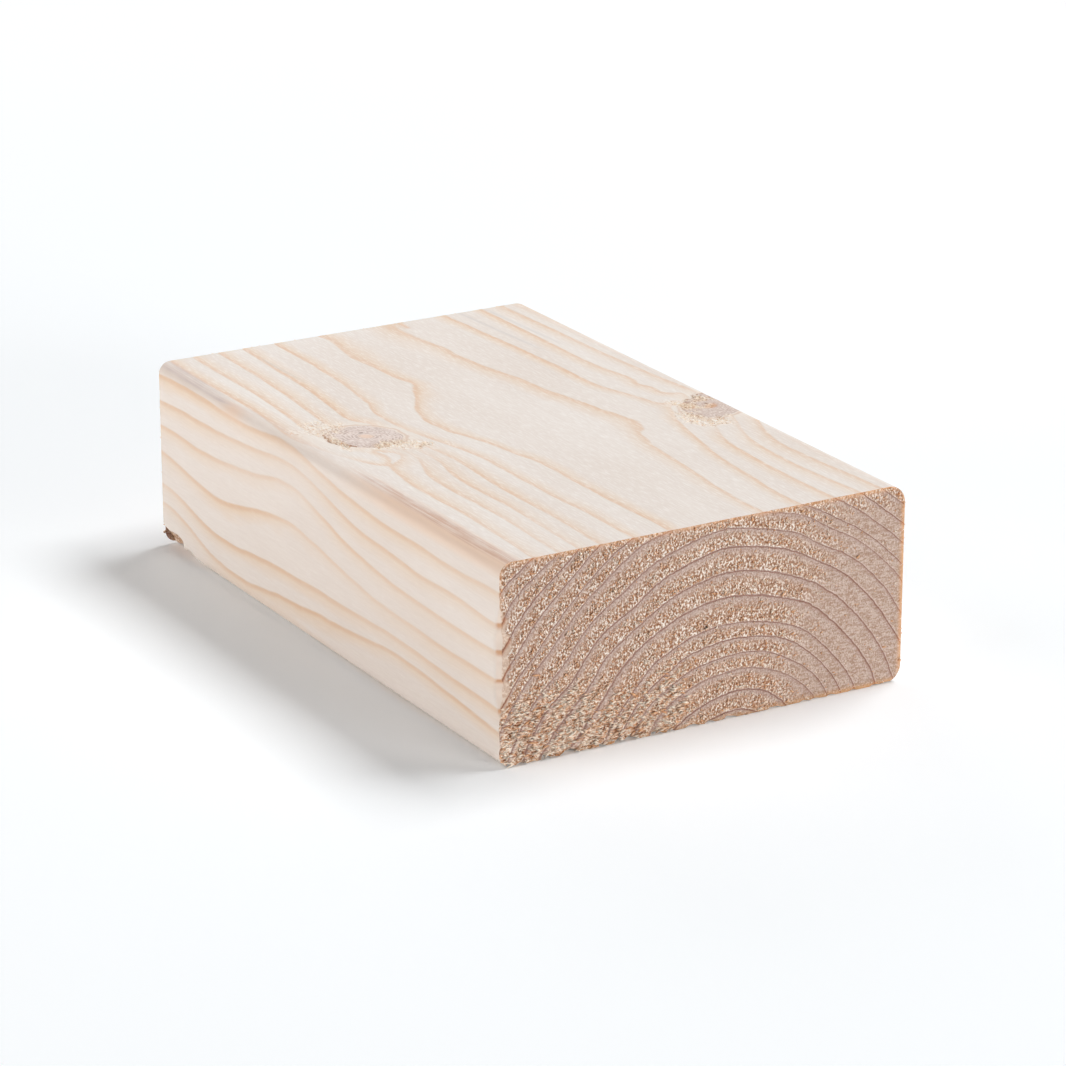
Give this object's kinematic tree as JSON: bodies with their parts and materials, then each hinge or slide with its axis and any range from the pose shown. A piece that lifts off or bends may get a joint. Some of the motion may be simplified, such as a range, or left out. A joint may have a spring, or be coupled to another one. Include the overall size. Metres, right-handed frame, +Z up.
{
  "type": "timber stud",
  "caption": "Short length of planed softwood stud of rectangular section with eased long arrises and rough sawn ends, a framing member that is nailed or screwed.",
  "frame": {"origin": "middle of the wide face that the stud lies on", "axes": "+X along the grain, +Y across the wide faces, +Z up through the thickness"},
  "size_m": [0.16, 0.1, 0.045],
  "materials": {
    "planed_softwood": "planed pale spruce with rough sawn end grain"
  },
  "bodies": {
    "root": {"timber_stud": "planed_softwood"}
  },
  "joints": []
}
